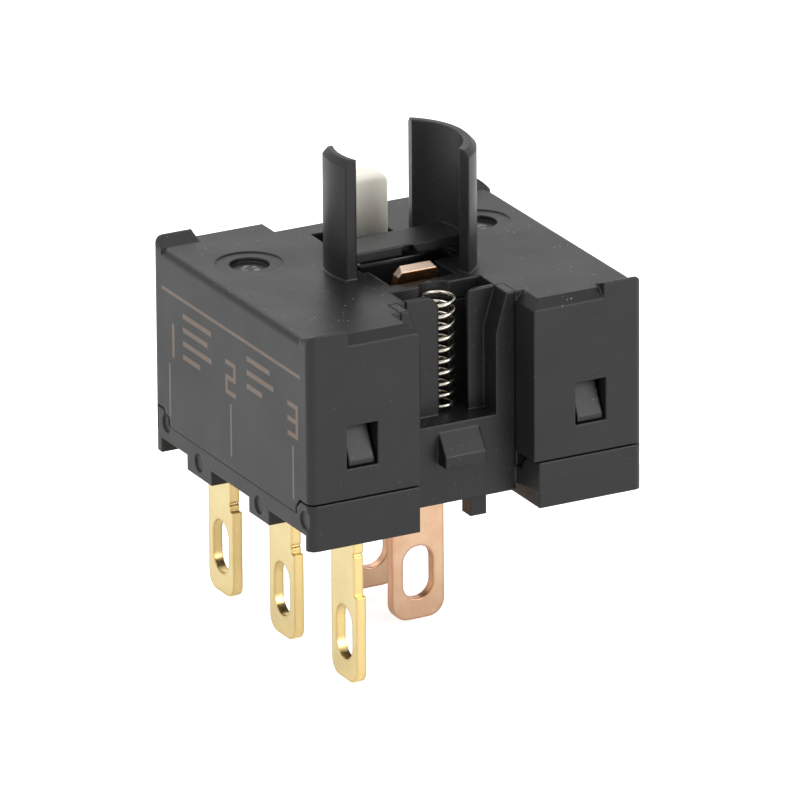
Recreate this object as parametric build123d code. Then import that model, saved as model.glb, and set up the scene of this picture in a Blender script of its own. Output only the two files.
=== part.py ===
from build123d import *
import os
from math import atan2, degrees, hypot, radians, tan

# Illuminated push button switch block: the part behind the panel that the button and its lamp
# plug into. Millimetres. The origin is the centre of the footprint at the tips of the solder
# tabs, +Z points up out of the panel, -Y is the side with the open spring pocket and -X is the
# side with the three switch contacts.

# ---------------------------------------------------------------- driving sizes
# housing
body_width = 18.0            # X
body_depth = 16.3            # Y
body_height = 10.53          # underside of the base to the top plate
tab_drop = 7.4               # solder tab tips below the underside of the base
corner_round = 0.4           # upright corners and long top edges
top_chamfer = 0.45           # front top edges
rear_chamfer = 0.12
wall = 0.9                   # outer walls of the cover
plate = 0.95                 # top plate of the cover
mould_gap = 0.05             # clearance between the two mouldings
close_gap = 0.02             # where they meet in view

# recesses between the corner towers
recess_half = 3.1
front_recess = 1.87
rear_recess = 1.42
partition = 0.8              # inner walls of the towers
partition_run = 3.53         # the front partitions reach this far behind the middle wall
tower_bevel_run = 0.45       # bevel along the inner top edge of the front towers
tower_bevel_drop = 0.48

# raised lips at the four top corners
lip_inset = 2.1
lip_rise = 0.37
lip_run = 0.95
lip_round = 0.55

# parting line of base and cover, above the underside
corner_seam = 2.3
side_seam = 1.6
corner_block = 0.95          # length of the corner blocks along Y, at their top
block_slant = 0.4            # their inner ends lean by this much
slit = 0.12                  # width of the slanted slit
skirt_thick, skirt_low = 0.22, 1.16  # the cover's rear wall hangs down behind the blocks
skirt_slit = 0.2
right_block_inset = 0.28     # the front right block of the base starts further out

# shallow moulding marks on the top plate
mark_inset, mark_y = 2.8, 3.35
mark_radius, mark_depth = 1.66, 0.06
pit_radius, pit_depth = 0.98, 0.3

# latches: windows in the towers, hooks on the base
latch_inset = 2.83           # from the side faces
window_width, window_low, window_high = 1.68, 3.9, 6.07
hook_width, hook_low, hook_high = 1.35, 3.98, 6.0
hook_reach, hook_nose = 0.85, 0.25
latch_arm, latch_arm_over = 0.5, 0.3

# lamp holder walls and cross bar
core_x = 0.13                # axis of lamp holder and plunger
holder_inner = 3.13
right_wall, left_wall = 0.65, 0.53   # thickness of the two walls
right_height, left_height = 6.17, 6.07   # above the top plate
holder_round = 0.28
foot_draft = 0.1             # below the top of the bar the walls thicken inwards by this much
right_apex = 1.42            # the right wall's end faces meet here on the middle plane
right_flare = 14.0
left_half = 1.2              # half width of the left wall
bar_rear, bar_front = 1.15, -0.92
bar_gap = 0.67               # top plate to the underside of the bar
bar_thick = 0.52
bar_notch_from, bar_notch_to, bar_notch_foot = -0.31, 0.27, 0.56
bar_notch_deep, bar_skin = 0.5, 0.08
bar_notch_corner = 0.15

# lamp well through the top plate
well_half_x = 1.78
well_arm_half = 0.55         # side bays under the bar
well_arm_left, well_arm_right = -2.1, 2.9
rib_front, rib_rear, rib_below = -0.35, 0.75, 0.08   # rib between the lamp terminals

# plunger and its slot
plunger_half = 1.49
plunger_thick = 1.35
plunger_to_recess = 1.28     # from the stem to the rear recess
plunger_proud = 3.07         # above the top plate at rest
plunger_travel = 2.5
plunger_round = 0.3
plunger_shoulder = 0.85     # radius of its two top corners
slot_end_gap = 0.38
slot_side_gap = 0.06
carriage_half, carriage_lip_front, carriage_lip_rear = 2.2, 0.38, 0.3
top_stop_gap = 0.08
bottom_stop_gap = 0.12
guide_clearance = 0.05
guide_reach, guide_return, guide_thick = 0.57, 0.7, 0.85
guide_gap = 0.2              # left above the guides at full travel

# base, heights above the underside
slab_low = 0.76              # underside of the slab between the feet
floor_high = 2.6             # inner floor
rim = 0.46                   # thin rims under the corner blocks
side_rim = 2.8               # length of the rims beside the front recess
foot_thick = 0.9
feet = ((2.13, 4.7), (-3.9, -1.8))   # feet along each side, from and to in Y
rear_foot = 0.75             # length of the foot at each rear corner
mark_small = 0.47            # radius of the round marks low on the sides
middle_marks = ((3.4, 0.76), (-2.87, 0.7))   # Y and height of two of them
rear_mark = (1.33, 1.68)     # distance from the rear face, and height
front_mark = (0.53, 1.5)     # distance from the front face, and height
dimple_depth = 0.08
peg_x, peg_inset, peg_side = 1.53, 1.33, 0.86   # inset from the middle wall's front
peg_drop = 0.91
mid_low = 0.42               # underside of the middle wall
mid_thick = 1.2

# window, hook and spring pocket of the middle wall
pocket_half = 2.05
pocket_floor = 4.45
flare_rise = 1.97            # the window's sides slant outwards over this height
flare_half = 2.66
mid_hook_half, mid_hook_low, mid_hook_lip, mid_hook_high = 1.1, 2.46, 3.02, 4.07
mid_hook_reach = 0.75
panel_thick = 0.22
panel_gap_from, panel_gap_to = -0.42, 1.18
left_panel_round, right_panel_round = 0.7, 0.42
channel_from, channel_to = -2.2, 2.65
channel_run = 1.36           # from the rear of the panels to the rear of the channel

# button return spring, standing free in its pocket
button_spring_x = 0.16
button_spring_gap = 0.03     # between the panels and the spring
button_spring_diameter, button_spring_wire = 1.7, 0.18
button_spring_drop = 0.36    # its top below the top plate
button_spring_turns = 9
spring_seat_gap = 0.02
notch_clearance = 0.08

# solder tabs
tab_thick = 0.5
tab_width, lamp_tab_width = 2.58, 2.82
tab_offset = 0.11            # the switch tabs stand this far forward of their pitch
tab_round, lamp_tab_round = 0.72, 0.85
lamp_tab_lift = 0.35         # the lamp tabs are this much shorter
eye_width, eye_length, eye_low = 1.65, 2.75, 1.0
neck_cut = 0.25
neck_low = 2.9               # the neck starts this far below the underside
nick_radius = 0.09           # small nick in the neck, at these heights above its shoulder
front_nick, rear_nick = 2.1, 0.38
tab_clearance = 0.04

# contact side
arm_share = 0.369            # place of the contact arm across the left chamber
sheet_offset = 0.7           # from the arm to the middle plane of the three terminals
contact_inset = 1.7          # outer tabs from the front and rear faces
common_near, riser_far = 1.35, 0.05   # edges of the outer risers, inwards from their tabs
closed_near = 0.95
arm_width, arm_thick = 2.2, 0.3
arm_slot, arm_slot_lead = 1.1, 0.6
pivot_inset, pivot_high = 0.85, 5.6   # from the common tab, and above the underside
bead_radius, cradle_clearance = 0.3, 0.04
cradle_lip, cradle_back = 0.1, 0.2
contact_from_tab = 2.15      # contacts behind the front tab
contact_radius, contact_head = 0.75, 0.4
contact_shank, formed_end = 0.3, 0.15
contact_gap = 0.59
touch_gap = 0.02
flange_width = 1.8
hitch_from_contact, hitch_radius = 2.1, 0.12
finger_from_pivot, finger_high = 1.2, 7.1   # hitch peg on the plunger's finger
finger_deep, finger_wide, finger_gap = 0.5, 0.3, 0.15
finger_over = 0.3            # the finger reaches this far below its peg
bridge_over, bridge_root = 0.2, 0.1
bridge_below, bridge_thick = 0.28, 0.8   # below the ceiling

# springs inside
snap_diameter, snap_wire = 0.7, 0.12
snap_turns = 9
snap_eye = 0.42
web_over, web_share = 0.03, 1.5      # end discs: wider than the coil, and as thick as this many wires
snap_offset = 0.05
return_diameter, return_wire = 1.4, 0.2
return_turns = 7
return_bore = 0.8
spring_roof = 1.2            # solid end of the plunger above the return spring
spring_peg = 0.5             # height of the peg inside its foot

# lamp terminals
lamp_from_pocket, lamp_from_recess = 0.85, 3.88   # front and rear tab from the walls beside them
lamp_tab_x = -0.06
lamp_blade_x, lamp_blade_width = -0.12, 2.15
lamp_jog = 0.9               # the rear terminal steps forwards by this much
jog_low, jog_high = 3.2, 4.6
lamp_bend = -0.53            # where the blade leans, measured from the top plate
lamp_top, rear_lamp_top = 0.57, -0.23
lamp_lean = 23.0
lamp_bend_radius = 0.6
lamp_corner = 0.25

# ---------------------------------------------------------------- derived planes
base_z = tab_drop                        # underside of the base
top_z = base_z + body_height             # top plate
ceiling_z = top_z - plate
half_w, half_d = body_width / 2, body_depth / 2
latch_x, mark_x, lip_start = half_w - latch_inset, half_w - mark_inset, half_w - lip_inset
front_plane = front_recess - half_d      # Y of the middle wall
rear_plane = half_d - rear_recess
inner_w, inner_d = half_w - wall, half_d - wall
block_y = half_d - corner_block
side_seam_z = base_z + side_seam
corner_seam_z = base_z + corner_seam
floor_z = base_z + floor_high
pocket_z = base_z + pocket_floor
chamber = recess_half + partition        # inner side of the tower pockets
mid_half = recess_half - close_gap
panel_front = front_plane + mid_thick
panel_rear = panel_front + panel_thick
channel_rear = panel_rear + channel_run
partition_end = front_plane + partition_run
lamp_front_y = partition_end + lamp_from_pocket
lamp_rear_y = rear_plane - lamp_from_recess
lamp_jog_y = lamp_rear_y - lamp_jog
well_half_y = lamp_from_pocket - lamp_front_y
peg_y = front_plane + peg_inset
button_spring_y = panel_rear + button_spring_gap + button_spring_diameter / 2
bar_z = top_z + bar_gap                  # underside of the bar
bar_top = bar_z + bar_thick
skirt_z = base_z + skirt_low
spring_top_z = ceiling_z - top_stop_gap - spring_roof    # end of the return spring
plunger_rear = rear_plane - plunger_to_recess
plunger_front = plunger_rear - plunger_thick
plunger_middle = (plunger_front + plunger_rear) / 2
carriage_front, carriage_rear = plunger_front - carriage_lip_front, plunger_rear + carriage_lip_rear
guide_front = carriage_front - guide_reach
bridge_z = ceiling_z - bridge_below - bridge_thick
guide_z = bridge_z - plunger_travel - guide_gap
contact_pitch = half_d - contact_inset
pivot_y = contact_pitch - pivot_inset
contact_y = contact_from_tab - contact_pitch
arm_front = contact_y - contact_radius
hitch_y = contact_y + hitch_from_contact
finger_y = pivot_y - finger_from_pivot
pivot_z = base_z + pivot_high
cradle_top = pivot_z - bead_radius + cradle_lip
arm_x = -chamber - arm_share * (inner_w - chamber)   # centre line of the contact arm
contact_sheet = arm_x - sheet_offset
snap_x = arm_x + snap_offset
flange_half = 0.8
arm_low, arm_high = pivot_z - arm_thick / 2, pivot_z + arm_thick / 2
closed_face = arm_high + contact_head + touch_gap
closed_flange_low = closed_face + contact_head
open_face = arm_low - contact_head - contact_gap
open_flange_top = open_face - contact_head
rivet_hole = contact_shank + 0.01


# ---------------------------------------------------------------- helpers
def span(x, y, z):
    """Box between two values along each axis."""
    centre = [(low + high) / 2 for low, high in (x, y, z)]
    return Pos(*centre) * Box(x[1] - x[0], y[1] - y[0], z[1] - z[0])


def mirrored(start, end, side):
    """Range from start to end on the +1 or -1 side of the middle plane."""
    return (start, end) if side > 0 else (-end, -start)


def along_x(points, x):
    """Prism of a closed outline in the YZ plane between two X values."""
    face = make_face(Plane.YZ * Polyline(*points, close=True))
    return Pos(x[0], 0, 0) * extrude(face, x[1] - x[0], dir=(1, 0, 0))


def along_y(points, y):
    """Prism of a closed outline in the XZ plane between two Y values."""
    face = make_face(Plane.XZ * Polyline(*points, close=True))
    return Pos(0, y[0], 0) * extrude(face, y[1] - y[0], dir=(0, 1, 0))


def upright(x, y, z, radius):
    """Upright cylinder from z[0] to z[1]."""
    return Pos(x, y, (z[0] + z[1]) / 2) * Cylinder(radius, z[1] - z[0])


def column(z):
    """Body outline with rounded upright corners, between two heights."""
    outline = fillet(Rectangle(body_width, body_depth).vertices(), corner_round)
    return Pos(0, 0, z[0]) * extrude(outline, z[1] - z[0], dir=(0, 0, 1))


def coil(diameter, wire, turns, height, sides=4):
    """Helical spring standing on Z = 0 with its faceted wire inside the height."""
    radius = (diameter - wire) / 2
    rise = height - wire
    path = Helix(rise / turns, rise, radius)
    section = Plane(path @ 0, z_dir=path % 0) * RegularPolygon(wire / 2, sides)
    return Pos(0, 0, wire / 2) * sweep(section, path=path, is_frenet=True)


# ---------------------------------------------------------------- cover
def cover_outside():
    """Block with rounded side edges, bevelled front and rear edges and raised corner lips."""
    low = side_seam_z + close_gap
    shell = column((low, top_z + lip_rise))
    side_view = Rectangle(body_width, 2 * (top_z - low))
    side_view = fillet(side_view.vertices(), corner_round)
    main = shell & Pos(0, half_d, low) * extrude(Plane.XZ * side_view, body_depth, dir=(0, -1, 0))
    main &= along_x(((-half_d, low), (half_d, low), (half_d, top_z - rear_chamfer),
                     (half_d - rear_chamfer, top_z), (top_chamfer - half_d, top_z),
                     (-half_d, top_z - top_chamfer)), (-half_w, half_w))
    lip_view = Rectangle(body_width, 2 * (top_z + lip_rise - low))
    lip_view = fillet(lip_view.vertices(), lip_round)
    envelope = shell & Pos(0, half_d, low) * extrude(Plane.XZ * lip_view, body_depth, dir=(0, -1, 0))
    for side in (-1, 1):
        for end in (-1, 1):
            outline = ((end * half_d, top_z - 2 * top_chamfer), (end * half_d, top_z + lip_rise),
                       (end * (half_d - lip_run), top_z),
                       (end * (half_d - lip_run), top_z - 2 * top_chamfer))
            main += envelope & along_x(outline, mirrored(lip_start, half_w, side))
    return main


def corner_block_outline(end, grow=0.0):
    """Side view of a base block at the front or rear corners: its inner end leans outwards."""
    high, low = corner_seam_z + close_gap * (grow > 0), side_seam_z - 0.1
    outer, inner = half_d + grow, block_y - grow
    return [(end * outer, low), (end * outer, high), (end * inner, high),
            (end * (inner - block_slant), high - block_slant), (end * (inner - block_slant), low)]


def side_marks():
    """Shallow round moulding marks low on both side faces, some of them across the seam."""
    marks = None
    for side in (-1, 1):
        for y, z in (*middle_marks, (half_d - rear_mark[0], rear_mark[1]),
                     (front_mark[0] - half_d, front_mark[1])):
            mark = Pos(side * half_w, y, base_z + z) * Rot(0, 90, 0) * Cylinder(mark_small, 2 * dimple_depth)
            marks = mark if marks is None else marks + mark
    return marks


def cover_chambers():
    """Everything hollow inside the cover."""
    low, high = side_seam_z - 1, ceiling_z
    middle_rear = rear_plane - wall
    hollow = span((-inner_w, inner_w), (partition_end, middle_rear), (low, high))
    for side in (-1, 1):
        hollow += span(mirrored(chamber, inner_w, side), (-inner_d, inner_d), (low, high))
    # the spring pocket of the base fills this bay
    hollow += span((-recess_half, recess_half), (front_plane, partition_end), (low, high))
    return hollow


def holder_wall(thick, height, region):
    """Part of the lamp holder's ring that lies in a region, with a tapered foot and a rounded rim."""
    foot, high = ceiling_z + plate / 2, top_z + height
    outer = holder_inner + thick
    ring = make_face(Plane.XZ * Polyline(
        (holder_inner - foot_draft, foot), (outer, foot), (outer, high - holder_round),
        (outer - holder_round, high), (holder_inner, high), (holder_inner, bar_top), close=True))
    return revolve(ring, Axis.Z) & Pos(0, 0, foot) * extrude(region, high - foot, dir=(0, 0, 1))


def lamp_holder():
    """Two curved walls on one axis, joined by a cross bar above the lamp well."""
    reach = holder_inner + right_wall + 1
    wide = right_apex + reach * tan(radians(right_flare))
    right = make_face(Polyline((right_apex, 0), (wide, reach), (reach, reach), (reach, -reach),
                               (wide, -reach), close=True))
    left = Pos(-reach / 2, 0) * Rectangle(reach, 2 * left_half)
    walls = holder_wall(right_wall, right_height, right) + holder_wall(left_wall, left_height, left)
    bar = span((-reach, reach), (bar_front, bar_rear), (bar_z, bar_top))
    # notch under the bar's top skin, arched on the left and slanted on the right
    under = bar_top - bar_skin
    bar -= along_y(((bar_notch_from, bar_z), (bar_notch_from, under - bar_notch_corner),
                    (bar_notch_from + bar_notch_corner, under), (bar_notch_to, under),
                    (bar_notch_foot, bar_z)), (bar_front, bar_front + bar_notch_deep))
    bar &= upright(0, 0, (bar_z, bar_top), holder_inner + left_wall / 2)
    return Pos(core_x, 0, 0) * (walls + bar)


def build_cover():
    cover = cover_outside() - cover_chambers()
    deep = (side_seam_z - 1, top_z + 1)
    # open recesses between the towers
    cover -= span((-recess_half, recess_half), (-half_d - 1, front_plane), deep)
    cover -= span((-recess_half, recess_half), (rear_plane, half_d + 1), deep)
    # room for the corner blocks and for the middle wall of the base
    for end in (-1, 1):
        cover -= along_x(corner_block_outline(end, slit), (-half_w, half_w))
    cover -= span((-chamber, chamber), (-half_d - 1, front_plane), (deep[0], corner_seam_z + close_gap))
    cover -= span((-recess_half, recess_half), (front_plane - 1, panel_front + close_gap), deep)
    cover -= span((-recess_half, recess_half), (front_plane, partition_end), (deep[0], ceiling_z))
    # channel of the button spring, with a round bay in its rear side
    cover -= span((channel_from, channel_to), (panel_front, channel_rear), deep)
    bay = button_spring_diameter / 2 + notch_clearance
    cover -= upright(button_spring_x, button_spring_y, deep, bay)
    # lamp well
    cover -= span((-well_half_x, well_half_x), (-well_half_y, well_half_y), (ceiling_z - 1, top_z + 0.01))
    cover -= span((well_arm_left, well_arm_right), (-well_arm_half, well_arm_half),
                  (ceiling_z - 1, top_z + 0.01))
    cover += lamp_holder()
    # rear walls of the towers hang down behind the corner blocks
    for side in (-1, 1):
        height = (skirt_z, corner_seam_z + slit)
        cover += column(height) & span(mirrored(recess_half, half_w, side),
                                       (half_d - skirt_thick, half_d), height)
    # plunger slot
    cover -= span((core_x - plunger_half - slot_end_gap, core_x + plunger_half + slot_end_gap),
                  (plunger_front - slot_side_gap, plunger_rear + slot_side_gap), (ceiling_z - 1, top_z + 1))
    # bevels that guide the button between the front towers
    for side in (-1, 1):
        inner = side * recess_half
        bevel = ((inner, top_z - tower_bevel_drop), (inner + side * tower_bevel_run, top_z),
                 (inner, top_z + 1))
        cover -= along_y(bevel, (-half_d - 1, front_plane))
    for side in (-1, 1):
        cover -= upright(side * mark_x, mark_y, (top_z - mark_depth, top_z + 1), mark_radius)
        cover -= upright(side * mark_x, mark_y, (top_z - pit_depth, top_z + 1), pit_radius)
        window = mirrored(latch_x - window_width / 2, latch_x + window_width / 2, side)
        for end in (-1, 1):
            cover -= span(window, mirrored(inner_d - 0.5, half_d + 1, end),
                          (base_z + window_low, base_z + window_high))
    return cover - side_marks()


# ---------------------------------------------------------------- base
def latch(side, end):
    """Upright spring arm behind a tower window, with its wedge hook."""
    face = inner_d - mould_gap
    arm = span(mirrored(latch_x - hook_width / 2, latch_x + hook_width / 2, side),
               mirrored(face - latch_arm, face, end), (floor_z, base_z + hook_high + latch_arm_over))
    outline = ((end * face, base_z + hook_high), (end * (face + hook_reach), base_z + hook_low + hook_nose),
               (end * (face + hook_reach), base_z + hook_low), (end * face, base_z + hook_low))
    x = mirrored(latch_x - hook_width / 2, latch_x + hook_width / 2, side)
    return arm + along_x(outline, x)


def middle_wall():
    """Wall between the front towers, with the window, the hook and the spring pocket behind it."""
    rear = panel_front
    body = span((-mid_half, mid_half), (front_plane, partition_end), (base_z + mid_low, pocket_z))
    body += span((-mid_half, mid_half), (front_plane, rear), (pocket_z, top_z))
    body -= along_y(((-pocket_half, pocket_z), (pocket_half, pocket_z),
                     (pocket_half, top_z - flare_rise), (flare_half, top_z + 0.1),
                     (-flare_half, top_z + 0.1), (-pocket_half, top_z - flare_rise)),
                    (front_plane - 1, rear + 1))
    # thin panels in front of the spring, each with one rounded top corner
    for start, stop, corner, radius in (
            (channel_from + mould_gap, panel_gap_from, panel_gap_from, left_panel_round),
            (panel_gap_to, channel_to - mould_gap, panel_gap_to, right_panel_round)):
        sheet = span((start, stop), (rear, rear + panel_thick), (pocket_z, top_z))
        edge = [e for e in sheet.edges().filter_by(Axis.Y)
                if abs(e.center().X - corner) < 1e-3 and abs(e.center().Z - top_z) < 1e-3]
        body += fillet(edge, radius)
    # sides and back of the pocket, under the top plate
    low_top = ceiling_z - mould_gap
    pocket = span((-mid_half, mid_half), (rear, partition_end), (pocket_z, low_top))
    pocket -= span((channel_from, channel_to), (rear - 1, channel_rear), (pocket_z, top_z))
    bay = button_spring_diameter / 2 + notch_clearance
    pocket -= upright(button_spring_x, button_spring_y, (pocket_z, top_z), bay)
    body += pocket
    hook = ((front_plane, base_z + mid_hook_high), (front_plane - mid_hook_reach, base_z + mid_hook_lip),
            (front_plane - mid_hook_reach, base_z + mid_hook_low), (front_plane, base_z + mid_hook_low))
    return body + along_x(hook, (-mid_hook_half, mid_hook_half))


def base_outline(z):
    """Body outline less the two recesses; the front one widens to the right."""
    front = make_face(Polyline((-recess_half, front_plane), (recess_half, front_plane),
                               (recess_half + right_block_inset, -half_d),
                               (recess_half + right_block_inset, -half_d - 1),
                               (-recess_half, -half_d - 1), close=True))
    solid = column(z) - Pos(0, 0, z[0]) * extrude(front, z[1] - z[0], dir=(0, 0, 1))
    return solid - span((-recess_half, recess_half), (rear_plane, half_d + 1), z)


def build_base():
    slab = base_outline((base_z + slab_low, side_seam_z))
    blocks = base_outline((side_seam_z - 0.01, corner_seam_z))
    for end in (-1, 1):
        slab += blocks & along_x(corner_block_outline(end), (-half_w, half_w))
    # room for the cover's rear skirts
    slab -= span((-half_w, half_w), (half_d - skirt_thick - skirt_slit, half_d + 1),
                 (skirt_z - close_gap, corner_seam_z + 1))
    # raised floor that fills the cover's chambers
    low = base_z + slab_low
    slab += span((-inner_w + mould_gap, inner_w - mould_gap),
                 (partition_end + mould_gap, rear_plane - wall - mould_gap), (low, floor_z))
    for side in (-1, 1):
        slab += span(mirrored(chamber + mould_gap, inner_w - mould_gap, side),
                     (-inner_d + mould_gap, inner_d - mould_gap), (low, floor_z))
        for end in (-1, 1):
            slab += latch(side, end)
    slab += middle_wall()
    # rib between the two lamp terminals
    slab += span((mould_gap - well_half_x, well_half_x - mould_gap), (rib_front, rib_rear),
                 (floor_z, top_z - rib_below))
    # feet along both sides, and rims under the corner blocks
    under = (base_z, base_z + slab_low)
    for side in (-1, 1):
        x = mirrored(half_w - foot_thick, half_w, side)
        for start, stop in feet:
            slab += span(x, (start, stop), under)
        slab += column(under) & span(x, (half_d - rear_foot, half_d), under)
        inner = recess_half + (right_block_inset if side > 0 else 0)
        slab += column(under) & span(mirrored(inner, half_w, side), (-half_d, rim - half_d), under)
        slab += span(mirrored(inner, inner + rim, side), (-half_d, side_rim - half_d), under)
    slab -= side_marks()
    slab += span((peg_x - peg_side / 2, peg_x + peg_side / 2), (peg_y - peg_side / 2, peg_y + peg_side / 2),
                 (base_z - peg_drop, base_z + mid_low))
    # guides beside and in front of the plunger's carriage
    for side in (-1, 1):
        inner = carriage_half + guide_clearance
        slab += Pos(core_x, 0, 0) * span(mirrored(inner, inner + guide_thick, side),
                                         (guide_front, carriage_rear), (floor_z, guide_z))
        slab += Pos(core_x, 0, 0) * span(mirrored(inner - guide_return, inner, side),
                                         (guide_front, carriage_front - guide_clearance),
                                         (floor_z, guide_z))
    # spring seat under the plunger
    slab += upright(core_x, plunger_middle, (floor_z, floor_z + spring_peg),
                    return_diameter / 2 - return_wire - mould_gap)
    return slab - terminal_slots()


def terminal_slots():
    """Slots that hold the five terminals."""
    slots = None
    for sheet in (common_outline(), open_outline(), closed_outline()):
        grown = offset(sheet, tab_clearance)
        x = contact_sheet - tab_thick / 2 - tab_clearance
        solid = Pos(x, 0, 0) * extrude(Plane.YZ * grown, tab_thick + 2 * tab_clearance, dir=(1, 0, 0))
        slots = solid if slots is None else slots + solid
    for y in (lamp_front_y, lamp_rear_y):
        half = tab_thick / 2 + tab_clearance
        wide = lamp_blade_width / 2 + tab_clearance
        slots += span((lamp_blade_x - wide, lamp_blade_x + wide), (y - half, y + half),
                      (base_z - 1, floor_z + 0.01))
    reach = (base_z - 1, floor_z + 4)
    return slots & span((-half_w, half_w), (-half_d, half_d), reach)


# ---------------------------------------------------------------- terminals
def tab(centre, width, radius, lift=0.0):
    """Flat outline of one solder tab: rounded tip and long eye."""
    length = tab_drop + slab_low - touch_gap - lift
    shape = Pos(centre, lift + length / 2) * Rectangle(width, length)
    tips = [v for v in shape.vertices() if v.Y < lift + 0.01]
    shape = fillet(tips, radius)
    eye = Pos(centre, lift + eye_low + eye_length / 2) * Rot(0, 0, 90) * SlotOverall(eye_length, eye_width)
    return shape - eye


def switch_tab(pitch_y, nick):
    """Tab of a switch contact, with a stepped neck on its front side and a nick above the step."""
    centre = pitch_y - tab_offset
    edge, shoulder = centre - tab_width / 2, base_z - neck_low
    neck = plate_span((edge - 1, edge + neck_cut), (shoulder, base_z + slab_low))
    notch = Pos(edge + neck_cut, shoulder + nick) * Circle(nick_radius)
    return tab(centre, tab_width, tab_round) - neck - notch


def plate_span(y, z):
    """Rectangle in a terminal's own plane."""
    return Pos((y[0] + y[1]) / 2, (z[0] + z[1]) / 2) * Rectangle(y[1] - y[0], z[1] - z[0])


def common_outline():
    """Rear terminal: a riser that ends under the arm's cradle."""
    riser = plate_span((contact_pitch - common_near, contact_pitch - riser_far),
                       (base_z + slab_low - 0.1, cradle_top))
    return switch_tab(contact_pitch, rear_nick) + riser


def open_outline():
    """Middle terminal: it turns forwards above the floor to reach under the moving contact."""
    riser_y = (-tab_width / 2 + neck_cut - tab_offset, tab_width / 2 - tab_offset)
    riser = plate_span(riser_y, (base_z + slab_low - 0.1, floor_z + 0.1))
    run = plate_span((contact_y - flange_half, riser_y[1]), (floor_z + 0.05, open_flange_top))
    return switch_tab(0, rear_nick) + riser + run


def closed_outline():
    """Front terminal: a riser in front of the arm, with a run back over the moving contact."""
    front = riser_far - contact_pitch
    riser = plate_span((front, closed_near - contact_pitch),
                       (base_z + slab_low - 0.1, closed_flange_low + tab_thick))
    run = plate_span((front, contact_y + flange_half), (closed_flange_low, closed_flange_low + tab_thick))
    return switch_tab(-contact_pitch, front_nick) + riser + run


def sheet_terminal(outline):
    """Terminal outline as a sheet on the contact plane."""
    start = contact_sheet - tab_thick / 2
    return Pos(start, 0, 0) * extrude(Plane.YZ * outline, tab_thick, dir=(1, 0, 0))


def flange(y, z):
    """Bent-over flange that carries a contact or the cradle."""
    start = contact_sheet - tab_thick / 2
    return span((start, arm_x + flange_width / 2), y, z)


def rivet(z_face, z_flange, thick, up):
    """Fixed contact: a head with its shank through the flange and a small formed end."""
    head = upright(arm_x, contact_y, sorted((z_face, z_flange)), contact_radius)
    shank_end = z_flange - up * (thick + formed_end)
    shank = upright(arm_x, contact_y, sorted((z_flange, shank_end)), contact_shank)
    formed = upright(arm_x, contact_y, sorted((z_flange - up * thick, shank_end)), contact_shank + formed_end)
    return head + shank + formed


def build_common():
    rear = contact_pitch - riser_far
    solid = sheet_terminal(common_outline())
    solid += flange((contact_pitch - common_near, rear), (cradle_top - tab_thick, cradle_top))
    solid += flange((pivot_y, rear), (cradle_top, pivot_z + cradle_back))
    cradle = Pos(arm_x, pivot_y, pivot_z) * Rot(0, 90, 0)
    return solid - cradle * Cylinder(bead_radius + cradle_clearance, arm_width + 2)


def build_open_terminal():
    seat = (contact_y - flange_half, contact_y + flange_half)
    solid = sheet_terminal(open_outline())
    solid += flange(seat, (open_flange_top - tab_thick, open_flange_top))
    return solid - upright(arm_x, contact_y, (open_flange_top - 1, open_flange_top + 1), rivet_hole)


def build_closed_terminal():
    seat = (contact_y - flange_half, contact_y + flange_half)
    solid = sheet_terminal(closed_outline())
    solid += flange(seat, (closed_flange_low, closed_flange_low + tab_thick))
    return solid - upright(arm_x, contact_y, (closed_flange_low - 1, closed_flange_low + 1), rivet_hole)


def lamp_terminal(y, inner_y, lean, height):
    """Copper strip: solder tab, a straight or jogged riser and a leaning contact blade."""
    outline = tab(lamp_tab_x, lamp_tab_width, lamp_tab_round, lamp_tab_lift)
    tab_solid = Pos(0, y + tab_thick / 2, 0) * extrude(Plane.XZ * outline, tab_thick, dir=(0, -1, 0))
    start = Vector(lamp_blade_x, y, base_z)
    bend = Vector(lamp_blade_x, inner_y, top_z + lamp_bend)
    top = Vector(lamp_blade_x, inner_y + lean * (height - lamp_bend) * tan(radians(lamp_lean)),
                 top_z + height)
    if lean:
        route = (start, bend, top)
    else:
        route = (start, Vector(lamp_blade_x, y, base_z + jog_low),
                 Vector(lamp_blade_x, inner_y, base_z + jog_high), top)
    path = FilletPolyline(*route, radius=lamp_bend_radius)
    section = Plane(origin=start, x_dir=(1, 0, 0), z_dir=(0, 0, 1)) * Rectangle(lamp_blade_width, tab_thick)
    blade = sweep(section, path=path)
    half, high = lamp_blade_width / 2, top_z + height + tab_thick
    cap = top_z + height - 0.1
    trim = ((lamp_blade_x - half, base_z - 1), (lamp_blade_x + half, base_z - 1),
            (lamp_blade_x + half, cap - lamp_corner), (lamp_blade_x + half - 2 * lamp_corner, high),
            (lamp_blade_x - half + 2 * lamp_corner, high), (lamp_blade_x - half, cap - lamp_corner))
    return tab_solid + (blade & along_y(trim, (-half_d, half_d)))


# ---------------------------------------------------------------- moving pieces
def build_arm():
    """Stamped frame with a round bead at its rear end and a hitch bar across its slot."""
    x = (arm_x - arm_width / 2, arm_x + arm_width / 2)
    arm = span(x, (arm_front, pivot_y), (arm_low, arm_high))
    slot_x = (arm_x - arm_slot / 2, arm_x + arm_slot / 2)
    arm -= span(slot_x, (hitch_y - arm_slot_lead, finger_y + arm_slot_lead), (arm_low - 1, arm_high + 1))
    arm -= upright(arm_x, contact_y, (arm_low - 1, arm_high + 1), rivet_hole)
    across = Rot(0, 90, 0)
    arm += Pos(arm_x, pivot_y, pivot_z) * across * Cylinder(bead_radius, arm_width)
    return arm + Pos(arm_x, hitch_y, pivot_z) * across * Cylinder(hitch_radius, arm_slot)


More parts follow.
